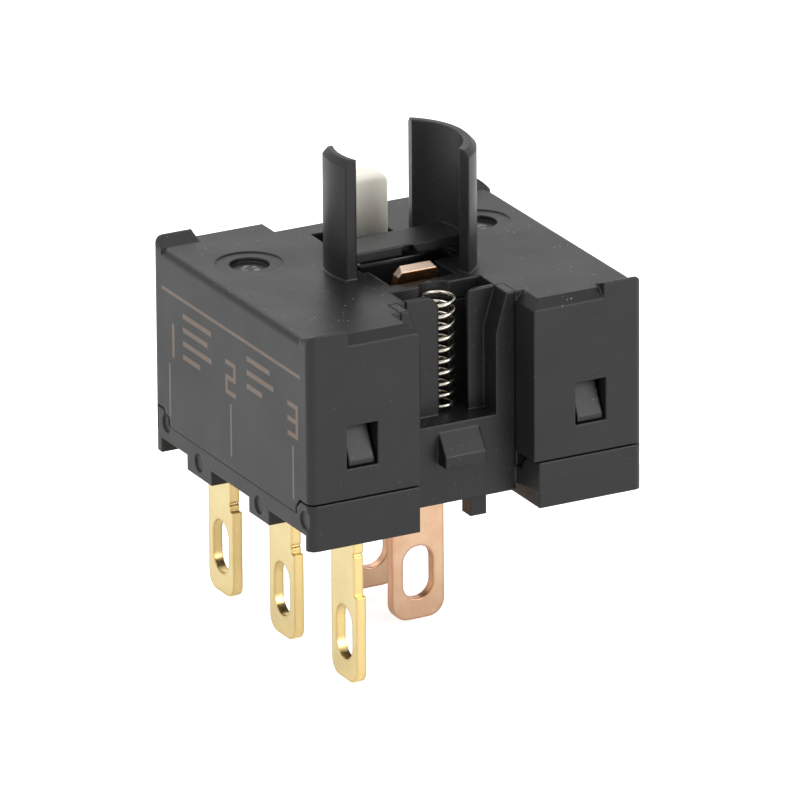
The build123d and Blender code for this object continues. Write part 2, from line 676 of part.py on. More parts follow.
def build_moving_contact():
    """Double-faced rivet through the arm."""
    rivet_solid = upright(arm_x, contact_y, (arm_high, arm_high + contact_head), contact_radius)
    rivet_solid += upright(arm_x, contact_y, (arm_low - contact_head, arm_low), contact_radius)
    return rivet_solid + upright(arm_x, contact_y, (arm_low, arm_high), contact_shank)


def build_plunger():
    """Flat stem through the slot, a carriage below it and a bridge to the snap mechanism."""
    carriage_low = floor_z + plunger_travel + bottom_stop_gap
    carriage_high = ceiling_z - top_stop_gap
    stem_top = top_z + plunger_proud
    stem = span((core_x - plunger_half, core_x + plunger_half), (plunger_front, plunger_rear),
                (carriage_high - 1, stem_top))
    stem = fillet(stem.edges().filter_by(Axis.Y).group_by(Axis.Z)[-1], plunger_shoulder)
    stem = fillet(stem.edges().filter_by(Axis.X).group_by(Axis.Z)[-1], plunger_round)
    body = span((core_x - carriage_half, core_x + carriage_half), (carriage_front, carriage_rear),
                (carriage_low, carriage_high))
    body -= upright(core_x, plunger_middle, (carriage_low - 1, spring_top_z), return_bore)
    bridge_x = (arm_x - arm_slot / 2 + finger_gap, core_x - carriage_half + bridge_root)
    finger = (finger_y - finger_deep / 2, finger_y + finger_deep / 2)
    bridge = span(bridge_x, (finger[0] - bridge_over, finger[1] + bridge_over),
                  (bridge_z, bridge_z + bridge_thick))
    finger_x = (bridge_x[0], bridge_x[0] + finger_wide)
    bridge += span(finger_x, finger, (base_z + finger_high - finger_over, bridge_z))
    peg_length = arm_slot - 2 * finger_gap - finger_wide
    peg = Pos(finger_x[1] + peg_length / 2, finger_y, base_z + finger_high) * Rot(0, 90, 0)
    return stem + body + bridge + peg * Cylinder(hitch_radius, peg_length)


def build_return_spring():
    height = spring_top_z - floor_z - 2 * spring_seat_gap
    spring = coil(return_diameter, return_wire, return_turns, height)
    return Pos(core_x, plunger_middle, floor_z + spring_seat_gap) * spring


def build_button_spring():
    """Free spring in the front pocket; its top stands a little below the top plate."""
    height = body_height - pocket_floor - button_spring_drop
    spring = coil(button_spring_diameter, button_spring_wire, button_spring_turns, height)
    return Pos(button_spring_x, button_spring_y, pocket_z + spring_seat_gap) * spring


def build_snap_spring():
    """Tension spring with an eye round the arm's hitch bar and one round the plunger's peg."""
    run, rise = finger_y - hitch_y, finger_high - pivot_high
    # each eye is pulled against the far side of its bar
    inset = snap_eye - snap_wire / 2 - hitch_radius - touch_gap / 2
    start, end = inset, hypot(run, rise) - inset
    coil_start, coil_end = start + snap_eye - snap_wire / 2, end - snap_eye + snap_wire / 2
    spring = Pos(0, coil_start, 0) * Rot(-90, 0, 0) * coil(
        snap_diameter, snap_wire, snap_turns, coil_end - coil_start)
    ring = revolve(Pos(snap_eye, 0) * RegularPolygon(snap_wire / 2, 6), Axis.Y)
    disc = Plane.XZ * RegularPolygon(snap_diameter / 2 + web_over, 12)
    disc = extrude(disc, web_share * snap_wire / 2, both=True)
    for y in (coil_start + snap_wire / 2, coil_end - snap_wire / 2):
        spring += Pos(0, y, 0) * disc
    for y in (start, end):
        spring += Pos(0, y, 0) * Rot(0, 0, 90) * ring
    tilt = degrees(atan2(rise, run))
    return Pos(snap_x, hitch_y, pivot_z) * Rot(tilt, 0, 0) * spring


def main():
    os.makedirs("parts", exist_ok=True)
    nodes = {
        "cover": build_cover(),
        "base": build_base(),
        "plunger": build_plunger(),
        "plunger_return_spring": build_return_spring(),
        "button_return_spring": build_button_spring(),
        "common_terminal": build_common(),
        "normally_open_terminal": build_open_terminal(),
        "normally_closed_terminal": build_closed_terminal(),
        "normally_open_contact": rivet(open_face, open_flange_top, tab_thick, 1),
        "normally_closed_contact": rivet(closed_face, closed_flange_low, tab_thick, -1),
        "contact_arm": build_arm(),
        "moving_contact": build_moving_contact(),
        "snap_spring": build_snap_spring(),
        "front_lamp_terminal": lamp_terminal(lamp_front_y, lamp_front_y, -1, lamp_top),
        "rear_lamp_terminal": lamp_terminal(lamp_rear_y, lamp_jog_y, 0, rear_lamp_top),
    }
    for name, solid in nodes.items():
        export_step(solid, f"parts/{name}.step")


if __name__ == "__main__":
    main()
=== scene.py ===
"""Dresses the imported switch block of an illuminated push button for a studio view.

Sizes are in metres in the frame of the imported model: the origin is the centre of the footprint
at the tips of the solder tabs, +Z points up out of the panel and -Y is the side with the open
spring pocket. Each sub-assembly is a class, and each finish is a frozen dataclass.
"""

from __future__ import annotations

import logging
import math
from dataclasses import dataclass, field
from enum import Enum
from typing import Callable

import bmesh
import bpy
import numpy as np
from mathutils import Matrix, Vector


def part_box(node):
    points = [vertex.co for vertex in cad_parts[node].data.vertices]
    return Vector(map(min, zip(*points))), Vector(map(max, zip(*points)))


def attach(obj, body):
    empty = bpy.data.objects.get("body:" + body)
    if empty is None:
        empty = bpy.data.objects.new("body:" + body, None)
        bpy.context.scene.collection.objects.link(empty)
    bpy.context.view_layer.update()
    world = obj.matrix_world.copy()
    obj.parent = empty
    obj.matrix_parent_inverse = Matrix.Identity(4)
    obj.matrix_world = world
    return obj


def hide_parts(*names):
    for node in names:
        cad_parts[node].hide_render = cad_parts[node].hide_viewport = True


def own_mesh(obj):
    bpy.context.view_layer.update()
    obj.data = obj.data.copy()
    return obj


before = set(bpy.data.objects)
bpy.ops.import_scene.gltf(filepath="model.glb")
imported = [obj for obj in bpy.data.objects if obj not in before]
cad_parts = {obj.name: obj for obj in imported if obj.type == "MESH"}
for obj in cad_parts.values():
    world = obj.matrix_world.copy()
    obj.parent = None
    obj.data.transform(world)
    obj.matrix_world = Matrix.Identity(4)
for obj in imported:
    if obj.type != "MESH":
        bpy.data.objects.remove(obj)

MM = 0.001
FULL_TURN = 2 * math.pi
log = logging.getLogger("switch_block")
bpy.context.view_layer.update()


class Segment(Enum):
    """Strokes of a plain seven-stroke numeral: middle and half size, in half numeral sizes."""

    TOP = (0, 1, 1, 0)
    UPPER_RIGHT = (1, 0.5, 0, 0.5)
    LOWER_RIGHT = (1, -0.5, 0, 0.5)
    BOTTOM = (0, -1, 1, 0)
    LOWER_LEFT = (-1, -0.5, 0, 0.5)
    UPPER_LEFT = (-1, 0.5, 0, 0.5)
    MIDDLE = (0, 0, 1, 0)


# ------------------------------------------------------------------ shader helpers
class Graph:
    """Thin wrapper round a node tree that adds and links nodes in reading order."""

    def __init__(self, tree: bpy.types.NodeTree) -> None:
        """Keeps the tree.

        Args:
            tree: node tree of a material, a world or a node group.
        """
        self.tree = tree

    def add(self, kind: str, **settings: object) -> bpy.types.Node:
        """Adds a node.

        Args:
            kind: Blender's type name of the node.
            settings: properties of the node; a key that names an input socket sets its default,
                with underscores for spaces, or links it when the value is a socket.

        Returns:
            The new node.
        """
        node = self.tree.nodes.new(kind)
        for key, value in settings.items():
            if hasattr(node, key) and not key[0].isupper():
                setattr(node, key, value)
                continue
            socket = node.inputs[key.replace("_", " ")]
            if isinstance(value, bpy.types.NodeSocket):
                self.tree.links.new(value, socket)
            else:
                socket.default_value = value
        return node

    def link(self, source: bpy.types.NodeSocket, target: bpy.types.NodeSocket) -> None:
        """Links two sockets."""
        self.tree.links.new(source, target)

    def maths(self, operation: str, first: object, second: object = 0.0) -> bpy.types.NodeSocket:
        """Adds a Math node.

        Args:
            operation: Blender's name of the operation.
            first: number or socket.
            second: number or socket.

        Returns:
            The result socket.
        """
        node = self.tree.nodes.new("ShaderNodeMath")
        node.operation = operation
        for socket, value in zip(node.inputs, (first, second)):
            if isinstance(value, bpy.types.NodeSocket):
                self.tree.links.new(value, socket)
            else:
                socket.default_value = value
        return node.outputs[0]

    def span(self, value: bpy.types.NodeSocket, low: float, high: float,
             to_low: float = 0.0, to_high: float = 1.0) -> bpy.types.NodeSocket:
        """Maps a value from one range to another, clamped.

        Args:
            value: socket to map.
            low: start of the source range.
            high: end of the source range.
            to_low: result at the start.
            to_high: result at the end.

        Returns:
            The result socket.
        """
        node = self.add("ShaderNodeMapRange", From_Min=low, From_Max=high,
                        To_Min=to_low, To_Max=to_high)
        self.link(value, node.inputs["Value"])
        return node.outputs["Result"]

    def rougher(self, rough: bpy.types.NodeSocket, mask: bpy.types.NodeSocket,
                amount: float) -> bpy.types.NodeSocket:
        """Adds an amount of roughness where a mask is 1."""
        return self.maths("ADD", rough, self.maths("MULTIPLY", mask, amount))

    def mix(self, factor: object, first: object, second: object) -> bpy.types.NodeSocket:
        """Mixes two colours.

        Args:
            factor: number or socket.
            first: colour or socket at factor 0.
            second: colour or socket at factor 1.

        Returns:
            The colour socket.
        """
        node = self.tree.nodes.new("ShaderNodeMix")
        node.data_type = "RGBA"
        for index, value in ((0, factor), (6, first), (7, second)):
            if isinstance(value, bpy.types.NodeSocket):
                self.tree.links.new(value, node.inputs[index])
            else:
                node.inputs[index].default_value = value
        return node.outputs[2]


def new_group(name: str, inputs: dict[str, float], outputs: dict[str, str]) -> tuple:
    """Makes an empty shader node group.

    Args:
        name: name of the group.
        inputs: float inputs and their defaults.
        outputs: outputs and their socket types.

    Returns:
        The group, its graph, its input node and its output node.
    """
    group = bpy.data.node_groups.new(name, "ShaderNodeTree")
    for key, value in inputs.items():
        socket = group.interface.new_socket(key, in_out="INPUT", socket_type="NodeSocketFloat")
        socket.default_value = value
    for key, kind in outputs.items():
        group.interface.new_socket(key, in_out="OUTPUT", socket_type=kind)
    graph = Graph(group)
    return group, graph, graph.add("NodeGroupInput"), graph.add("NodeGroupOutput")


def millimetres(graph: Graph) -> bpy.types.NodeSocket:
    """Object coordinates scaled so that one unit is a millimetre."""
    coordinates = graph.add("ShaderNodeTexCoord")
    mapping = graph.add("ShaderNodeMapping", Vector=coordinates.outputs["Object"],
                        Scale=(1 / MM, 1 / MM, 1 / MM))
    return mapping.outputs["Vector"]


class Effects:
    """Node groups that more than one finish uses."""

    def __init__(self) -> None:
        """Builds the groups."""
        self.grain = self._grain()
        self.dust = self._dust()
        self.drawn = self._drawn()
        self.bar = self._bar()
        self.gate = self._gate()
        self.cut = self._cut()
        self.rim = self._painted_rim_mask()

    @staticmethod
    def _painted_rim_mask() -> bpy.types.NodeTree:
        """Mask of rounded edges, where metals get painted shade: how far a bevelled normal turns
        away from the surface's own normal.
        """
        group, graph, taken, given = new_group(
            "painted_rim_mask", {"Radius": 0.1 * MM}, {"Mask": "NodeSocketFloat"})
        soft = graph.add("ShaderNodeBevel", samples=6, Radius=taken.outputs["Radius"])
        own = graph.add("ShaderNodeNewGeometry")
        turned = graph.add("ShaderNodeVectorMath", operation="DOT_PRODUCT")
        graph.link(soft.outputs["Normal"], turned.inputs[0])
        graph.link(own.outputs["True Normal"], turned.inputs[1])
        graph.link(graph.span(turned.outputs["Value"], 0.98, 0.80), given.inputs["Mask"])
        return group

    @staticmethod
    def _gate() -> bpy.types.NodeTree:
        """Torn gate marks in the two round pits of the top plate: speckle within a radius."""
        group, graph, taken, given = new_group(
            "gate_marks", {"Across": 6.2, "Along": 3.35, "Radius": 0.5, "Above": 17.2},
            {"Mask": "NodeSocketFloat"})
        place = millimetres(graph)
        split = graph.add("ShaderNodeSeparateXYZ", Vector=place)
        across = graph.maths("SUBTRACT", graph.maths("ABSOLUTE", split.outputs["X"]),
                             taken.outputs["Across"])
        along = graph.maths("SUBTRACT", split.outputs["Y"], taken.outputs["Along"])
        away = graph.maths("SQRT", graph.maths("ADD", graph.maths("MULTIPLY", across, across),
                                               graph.maths("MULTIPLY", along, along)))
        near = graph.maths("MULTIPLY", graph.maths("LESS_THAN", away, taken.outputs["Radius"]),
                           graph.maths("GREATER_THAN", split.outputs["Z"], taken.outputs["Above"]))
        torn = graph.add("ShaderNodeTexNoise", Vector=place, Scale=4.5, Detail=3.0)
        graph.link(graph.maths("MULTIPLY", near, graph.span(torn.outputs["Fac"], 0.5, 0.56)),
                   given.inputs["Mask"])
        return group

    @staticmethod
    def _cut() -> bpy.types.NodeTree:
        """Cut faces of a sheet: where the surface turns away from the sheet's own two faces."""
        group, graph, taken, given = new_group(
            "cut_edge", {"Along X": 1.0, "Along Y": 0.0}, {"Mask": "NodeSocketFloat"})
        normal = graph.add("ShaderNodeSeparateXYZ",
                           Vector=graph.add("ShaderNodeNewGeometry").outputs["Normal"])
        sheet = graph.maths(
            "ADD", graph.maths("MULTIPLY", graph.maths("ABSOLUTE", normal.outputs["X"]),
                               taken.outputs["Along X"]),
            graph.maths("MULTIPLY", graph.maths("ABSOLUTE", normal.outputs["Y"]),
                        taken.outputs["Along Y"]))
        graph.link(graph.span(sheet, 0.85, 0.35), given.inputs["Mask"])
        return group

    @staticmethod
    def _bar() -> bpy.types.NodeTree:
        """One printed bar: 1 where both distances from its middle are within its half sizes."""
        group, graph, taken, given = new_group(
            "printed_bar", {"Across": 0.0, "Up": 0.0, "Middle across": 0.0, "Middle up": 0.0,
                            "Half width": 0.1, "Half height": 0.1}, {"Mask": "NodeSocketFloat"})
        sides = []
        for place, middle, half in (("Across", "Middle across", "Half width"),
                                    ("Up", "Middle up", "Half height")):
            away = graph.maths("ABSOLUTE", graph.maths(
                "SUBTRACT", taken.outputs[place], taken.outputs[middle]))
            inside = graph.maths("SUBTRACT", taken.outputs[half], away)
            sides.append(graph.span(inside, -0.02, 0.02))
        graph.link(graph.maths("MULTIPLY", *sides), given.inputs["Mask"])
        return group

    @staticmethod
    def _grain() -> bpy.types.NodeTree:
        """Moulded or blasted surface grain: two noises added, the finer at 0.4 of the strength."""
        group, graph, taken, given = new_group(
            "surface_grain", {"Per mm": 12.0, "Seed": 0.0},
            {"Height": "NodeSocketFloat", "Cloud": "NodeSocketFloat"})
        place = millimetres(graph)
        coarse = graph.add("ShaderNodeTexNoise", noise_dimensions="4D", Vector=place,
                           W=taken.outputs["Seed"], Scale=taken.outputs["Per mm"], Detail=3.0)
        fine = graph.add("ShaderNodeTexNoise", Vector=place, Detail=2.0,
                         Scale=graph.maths("MULTIPLY", taken.outputs["Per mm"], 3.7))
        cloud = graph.add("ShaderNodeTexNoise", noise_dimensions="4D", Vector=place,
                          W=taken.outputs["Seed"], Scale=0.35, Detail=2.0)
        height = graph.maths("ADD", coarse.outputs["Fac"],
                             graph.maths("MULTIPLY", fine.outputs["Fac"], 0.4))
        graph.link(height, given.inputs["Height"])
        graph.link(cloud.outputs["Fac"], given.inputs["Cloud"])
        return group

    @staticmethod
    def _dust() -> bpy.types.NodeTree:
        """Dust specks: the middles of scattered cells, thinned by a second pattern and by slope."""
        group, graph, taken, given = new_group(
            "settled_dust", {"Per mm": 4.2, "Amount": 0.5, "Sides": 0.16},
            {"Mask": "NodeSocketFloat"})
        place = millimetres(graph)
        wobble = graph.add("ShaderNodeTexNoise", Vector=place, Scale=9.0, Detail=2.0)
        bent = graph.add("ShaderNodeVectorMath", operation="MULTIPLY_ADD")
        graph.link(wobble.outputs["Color"], bent.inputs[0])
        bent.inputs[1].default_value = (0.16, 0.16, 0.16)
        graph.link(place, bent.inputs[2])
        cells = graph.add("ShaderNodeTexVoronoi", Vector=bent.outputs[0],
                          Scale=taken.outputs["Per mm"])
        size = graph.maths("MULTIPLY", cells.outputs["Color"], 0.17)
        speck = graph.maths("LESS_THAN", cells.outputs["Distance"], size)
        patches = graph.add("ShaderNodeTexNoise", Vector=place, Scale=0.8, Detail=2.0)
        where = graph.span(patches.outputs["Fac"], 0.36, 0.58)
        normal = graph.add("ShaderNodeNewGeometry")
        split = graph.add("ShaderNodeSeparateXYZ", Vector=normal.outputs["Normal"])
        slope = graph.add("ShaderNodeMapRange", From_Min=0.2, From_Max=0.9,
                          To_Min=taken.outputs["Sides"], To_Max=1.0)
        graph.link(split.outputs["Z"], slope.inputs["Value"])
        mask = graph.maths("MULTIPLY", graph.maths("MULTIPLY", speck, where),
                           slope.outputs["Result"])
        graph.link(graph.maths("MULTIPLY", mask, taken.outputs["Amount"]), given.inputs["Mask"])
        return group

    @staticmethod
    def _drawn() -> bpy.types.NodeTree:
        """Rolled or drawn metal: noise stretched along Z, with a slow tarnish cloud beside it."""
        group, graph, taken, given = new_group(
            "rolled_metal", {"Per mm": 14.0, "Seed": 0.0},
            {"Streaks": "NodeSocketFloat", "Tarnish": "NodeSocketFloat"})
        coordinates = graph.add("ShaderNodeTexCoord")
        stretch = graph.add("ShaderNodeMapping", Vector=coordinates.outputs["Object"],
                            Scale=(1 / MM, 1 / MM, 0.06 / MM))
        streaks = graph.add("ShaderNodeTexNoise", noise_dimensions="4D", Detail=3.0,
                            Vector=stretch.outputs["Vector"], W=taken.outputs["Seed"],
                            Scale=taken.outputs["Per mm"])
        cloud = graph.add("ShaderNodeTexNoise", noise_dimensions="4D", Detail=4.0,
                          Vector=millimetres(graph), W=taken.outputs["Seed"], Scale=0.9)
        graph.link(streaks.outputs["Fac"], given.inputs["Streaks"])
        graph.link(cloud.outputs["Fac"], given.inputs["Tarnish"])
        return group


def start_material(name: str) -> tuple[bpy.types.Material, Graph, bpy.types.Node]:
    """Makes a material with a bare Principled shader.

    Args:
        name: name of the material.

    Returns:
        The material, its graph and its shader node.
    """
    material = bpy.data.materials.new(name)
    material.use_nodes = True
    material.node_tree.nodes.clear()
    graph = Graph(material.node_tree)
    shader = graph.add("ShaderNodeBsdfPrincipled")
    output = graph.add("ShaderNodeOutputMaterial")
    graph.link(shader.outputs["BSDF"], output.inputs["Surface"])
    return material, graph, shader


def group_node(graph: Graph, group: bpy.types.NodeTree, **values: float) -> bpy.types.Node:
    """Places a node group and sets its inputs."""
    node = graph.add("ShaderNodeGroup")
    node.node_tree = group
    for key, value in values.items():
        node.inputs[key.replace("_", " ")].default_value = value
    return node


def by_ray(graph: Graph, seen: float, mirrored: float) -> bpy.types.NodeSocket:
    """Strength for each kind of ray.

    Args:
        graph: graph of the material or world.
        seen: strength for rays from the camera.
        mirrored: strength for glossy and transmission rays.

    Returns:
        The strength, which is 0 for every other ray.
    """
    path = graph.add("ShaderNodeLightPath")
    through = graph.maths("MAXIMUM", path.outputs["Is Glossy Ray"],
                          path.outputs["Is Transmission Ray"])
    return graph.maths("MAXIMUM", graph.maths("MULTIPLY", path.outputs["Is Camera Ray"], seen),
                       graph.maths("MULTIPLY", through, mirrored))


@dataclass(frozen=True)
class TerminalMarks:
    """Worn pad print on the left face: a plain number and a lead line for each switch tab.

    Places are in millimetres, across from the middle towards the front and up from the tab tips.
    """

    columns: tuple[float, ...] = (-6.45, 0.0, 6.45)
    number_up: float = 13.6
    half_width: float = 0.42
    half_height: float = 0.75
    stroke: float = 0.12
    line_from: float = 9.6
    line_to: float = 12.3
    rule_up: float = 16.0
    rule_half: float = 7.2
    short_rules: tuple[tuple[float, float, float], ...] = (
        (-3.5, 15.2, 1.5), (-3.7, 14.5, 1.3), (-3.5, 13.8, 1.5), (-4.1, 13.1, 0.9),
        (2.9, 15.2, 1.2), (3.1, 14.5, 1.4), (2.5, 13.8, 0.8))
    face: float = -8.9
    colour: tuple[float, float, float] = (0.175, 0.13, 0.10)

    def bars(self) -> list[tuple[float, float, float, float]]:
        """Middles and half sizes of every printed bar.

        Returns:
            Rows of middle across, middle up, half width and half height.
        """
        one = (Segment.UPPER_RIGHT, Segment.LOWER_RIGHT)
        two = (Segment.TOP, Segment.UPPER_RIGHT, Segment.MIDDLE, Segment.LOWER_LEFT, Segment.BOTTOM)
        three = (Segment.TOP, *one, Segment.MIDDLE, Segment.BOTTOM)
        rows = [(0.0, self.rule_up, self.rule_half, self.stroke * 0.7)]
        rows += [(*place, half, self.stroke * 1.1) for *place, half in self.short_rules]
        for across, strokes in zip(self.columns, (one, two, three)):
            for x, y, wide, high in (stroke.value for stroke in strokes):
                rows.append((across + x * self.half_width, self.number_up + y * self.half_height,
                             wide * self.half_width + self.stroke,
                             high * self.half_height + self.stroke))
            rows.append((across, (self.line_from + self.line_to) / 2, self.stroke * 0.7,
                         (self.line_to - self.line_from) / 2))
        return rows

    def mask(self, graph: Graph, effects: Effects) -> bpy.types.NodeSocket:
        """Adds the nodes of the print.

        Args:
            graph: graph of the material.
            effects: the shared node groups.

        Returns:
            The print's mask, thinned by wear.
        """
        place = graph.add("ShaderNodeSeparateXYZ", Vector=millimetres(graph))
        across = graph.maths("MULTIPLY", place.outputs["Y"], -1.0)
        total = None
        for middle_across, middle_up, half_width, half_height in self.bars():
            bar = group_node(graph, effects.bar, Middle_across=middle_across, Middle_up=middle_up,
                             Half_width=half_width, Half_height=half_height)
            graph.link(across, bar.inputs["Across"])
            graph.link(place.outputs["Z"], bar.inputs["Up"])
            here = bar.outputs["Mask"]
            total = here if total is None else graph.maths("MAXIMUM", total, here)
        wear = group_node(graph, effects.grain, Per_mm=7.0, Seed=5.0)
        kept = graph.span(wear.outputs["Height"], 0.42, 0.62, 0.25, 0.85)
        on_face = graph.maths("LESS_THAN", place.outputs["X"], self.face)
        return graph.maths("MULTIPLY", graph.maths("MULTIPLY", total, kept), on_face)


@dataclass(frozen=True)
class MouldedPlastic:
    """Injection-moulded plastic with fine grain, cloudy gloss and a little settled dust."""

    name: str
    colour: tuple[float, float, float]
    cloud_colour: tuple[float, float, float]
    roughness: float
    rough_spread: float
    grain_per_mm: float
    grain_depth: float
    dust: float
    specular: float = 0.5
    edge_radius: float = 0.12 * MM
    dust_colour: tuple[float, float, float] = (0.42, 0.41, 0.39)
    dust_rough: float = 0.4
    torn_colour: tuple[float, float, float] = (0.22, 0.22, 0.22)
    torn_rough: float = 0.3
    ink_rough: float = 0.12
    subsurface: float = 0.0
    marks: TerminalMarks | None = None
    gates: bool = False

    def build(self, effects: Effects) -> bpy.types.Material:
        """Builds the material.

        Args:
            effects: the shared node groups.

        Returns:
            The material.
        """
        material, graph, shader = start_material(self.name)
        grain = group_node(graph, effects.grain, Per_mm=self.grain_per_mm)
        colour = graph.mix(graph.span(grain.outputs["Cloud"], 0.35, 0.65),
                           (*self.colour, 1), (*self.cloud_colour, 1))
        rough = graph.span(grain.outputs["Cloud"], 0.3, 0.7, self.roughness - self.rough_spread,
                           self.roughness + self.rough_spread)
        if self.dust:
            dust = group_node(graph, effects.dust, Amount=self.dust)
            colour = graph.mix(dust.outputs["Mask"], colour, (*self.dust_colour, 1))
            rough = graph.rougher(rough, dust.outputs["Mask"], self.dust_rough)
        if self.gates:
            torn = group_node(graph, effects.gate).outputs["Mask"]
            colour = graph.mix(torn, colour, (*self.torn_colour, 1))
            rough = graph.rougher(rough, torn, self.torn_rough)
        if self.marks:
            ink = self.marks.mask(graph, effects)
            colour = graph.mix(ink, colour, (*self.marks.colour, 1))
            rough = graph.rougher(rough, ink, self.ink_rough)
        graph.link(colour, shader.inputs["Base Color"])
        graph.link(rough, shader.inputs["Roughness"])
        soft = graph.add("ShaderNodeBevel", samples=8, Radius=self.edge_radius)
        bump = graph.add("ShaderNodeBump", Strength=1.0, Distance=self.grain_depth * MM,
                         Height=grain.outputs["Height"], Normal=soft.outputs["Normal"])
        graph.link(bump.outputs["Normal"], shader.inputs["Normal"])
        shader.inputs["Specular IOR Level"].default_value = self.specular
        if self.subsurface:
            shader.inputs["Subsurface Weight"].default_value = self.subsurface
            shader.inputs["Subsurface Radius"].default_value = (1.0, 0.85, 0.6)
            shader.inputs["Subsurface Scale"].default_value = 0.5 * MM
        return material


@dataclass(frozen=True)
class PlatedMetal:
    """Rolled, stamped or drawn metal with fine streaks and slow tarnish.

    The cut colour is for the narrow faces of a sheet. The rim colour is painted shade along its
    rounded edges, in a band as wide as the rim width in edge radii. Above tip_height, in
    millimetres, the metal takes a painted highlight colour where it faces up and a painted shade
    colour elsewhere.
    """

    name: str
    colour: tuple[float, float, float]
    tarnish: tuple[float, float, float]
    roughness: float
    rough_spread: float
    streak_depth: float
    seed: float = 0.0
    edge_radius: float = 0.05 * MM
    cut_colour: tuple[float, float, float] | None = None
    cut_rough: float = 0.08
    sheet_across: tuple[float, float] = (1.0, 0.0)
    painted_rim_shade: tuple[float, float, float] | None = None
    painted_rim_width: float = 2.4
    painted_tip_highlight: tuple[float, float, float] | None = None
    painted_tip_shade: tuple[float, float, float] = (0.36, 0.17, 0.075)
    tip_height: float = 16.6
    tip_blend: float = 0.5
    tip_rough: float = 0.12

    def build(self, effects: Effects) -> bpy.types.Material:
        """Builds the material.

        Args:
            effects: the shared node groups.

        Returns:
            The material.
        """
        material, graph, shader = start_material(self.name)
        drawn = group_node(graph, effects.drawn, Seed=self.seed)
        colour = graph.mix(graph.span(drawn.outputs["Tarnish"], 0.4, 0.75),
                           (*self.colour, 1), (*self.tarnish, 1))
        rough = graph.span(drawn.outputs["Streaks"], 0.3, 0.7, self.roughness - self.rough_spread,
                           self.roughness + self.rough_spread)
        if self.cut_colour:
            cut = group_node(graph, effects.cut, Along_X=self.sheet_across[0],
                             Along_Y=self.sheet_across[1]).outputs["Mask"]
            colour = graph.mix(cut, colour, (*self.cut_colour, 1))
            rough = graph.rougher(rough, cut, self.cut_rough)
        # painted shade: a darker colour mixed in along the rounded edges
        if self.painted_rim_shade:
            rim = group_node(graph, effects.rim,
                             Radius=self.edge_radius * self.painted_rim_width).outputs["Mask"]
            colour = graph.mix(rim, colour, (*self.painted_rim_shade, 1))
        # painted highlight on metal above the tip height that faces up, painted shade on the rest
        # of it
        if self.painted_tip_highlight:
            place = graph.add("ShaderNodeSeparateXYZ", Vector=millimetres(graph))
            tip = graph.span(place.outputs["Z"], self.tip_height,
                             self.tip_height + self.tip_blend)
            facing = graph.add("ShaderNodeSeparateXYZ",
                               Vector=graph.add("ShaderNodeNewGeometry").outputs["Normal"])
            upward = graph.maths("MULTIPLY", tip, graph.span(facing.outputs["Z"], 0.15, 0.5))
            colour = graph.mix(tip, colour, (*self.painted_tip_shade, 1))
            colour = graph.mix(upward, colour, (*self.painted_tip_highlight, 1))
            rough = graph.rougher(rough, tip, self.tip_rough)
        graph.link(colour, shader.inputs["Base Color"])
        graph.link(rough, shader.inputs["Roughness"])
        soft = graph.add("ShaderNodeBevel", samples=6, Radius=self.edge_radius)
        bump = graph.add("ShaderNodeBump", Strength=1.0, Distance=self.streak_depth * MM,
                         Height=drawn.outputs["Streaks"], Normal=soft.outputs["Normal"])
        graph.link(bump.outputs["Normal"], shader.inputs["Normal"])
        shader.inputs["Metallic"].default_value = 1.0
        return material


BLACK_MOULDING = MouldedPlastic(
    name="black_moulding", colour=(0.0095, 0.0096, 0.0100), cloud_colour=(0.0120, 0.0121, 0.0125),
    roughness=0.38, rough_spread=0.05, grain_per_mm=15.0, grain_depth=0.006, dust=0.8,
    specular=0.34, edge_radius=0.15 * MM, marks=TerminalMarks(), gates=True)
IVORY_MOULDING = MouldedPlastic(
    name="ivory_moulding", colour=(0.89, 0.86, 0.77), cloud_colour=(0.86, 0.83, 0.74),
    roughness=0.38, rough_spread=0.05, grain_per_mm=10.0, grain_depth=0.002, dust=0.0,
    edge_radius=0.05 * MM, subsurface=0.3)
# The rim colours below are painted shade along rounded edges.
GOLD_PLATE = PlatedMetal(
    name="gold_plate", colour=(0.80, 0.655, 0.335), tarnish=(0.76, 0.595, 0.28), roughness=0.21,
    rough_spread=0.03, streak_depth=0.0002, seed=1.3, edge_radius=0.11 * MM,
    cut_colour=(0.80, 0.61, 0.28), painted_rim_shade=(0.62, 0.44, 0.17))
# The copper's tip colours are a painted highlight on faces that point up and painted shade on the
# rest above the tip height.
ROSE_COPPER = PlatedMetal(
    name="rose_copper", colour=(0.71, 0.475, 0.315), tarnish=(0.63, 0.38, 0.24), roughness=0.25,
    rough_spread=0.04, streak_depth=0.0002, seed=4.1, edge_radius=0.11 * MM,
    cut_colour=(0.68, 0.39, 0.24), sheet_across=(0.0, 1.0), painted_rim_shade=(0.50, 0.25, 0.13),
    painted_tip_highlight=(0.97, 0.76, 0.60))
BRIGHT_WIRE = PlatedMetal(
    name="bright_wire", colour=(0.72, 0.68, 0.61), tarnish=(0.52, 0.44, 0.34), roughness=0.2,
    rough_spread=0.05, streak_depth=0.0004, seed=7.7, edge_radius=0.02 * MM)
SILVER_CONTACT = PlatedMetal(
    name="silver_contact", colour=(0.86, 0.86, 0.84), tarnish=(0.72, 0.71, 0.68),
    roughness=0.3, rough_spread=0.06, streak_depth=0.001, seed=9.2)


# ------------------------------------------------------------------ mesh helpers
CAP_RINGS = 4
CAP_START = 0.15
CAP_LENGTH = 0.5


def mesh_object(name: str, points: np.ndarray, faces: list,
                smooth: bool = True) -> bpy.types.Object:
    """Puts a computed surface into a new object at the origin.

    Args:
        name: name of the object.
        points: array of points, in metres.
        faces: lists of point numbers.
        smooth: whether its faces are shaded smooth.

    Returns:
        The object, linked to the scene.
    """
    mesh = bpy.data.meshes.new(name)
    mesh.from_pydata(points.tolist(), [], faces)
    mesh.polygons.foreach_set("use_smooth", np.full(len(mesh.polygons), smooth))
    mesh.update()
    made = bpy.data.objects.new(name, mesh)
    bpy.context.scene.collection.objects.link(made)
    return made


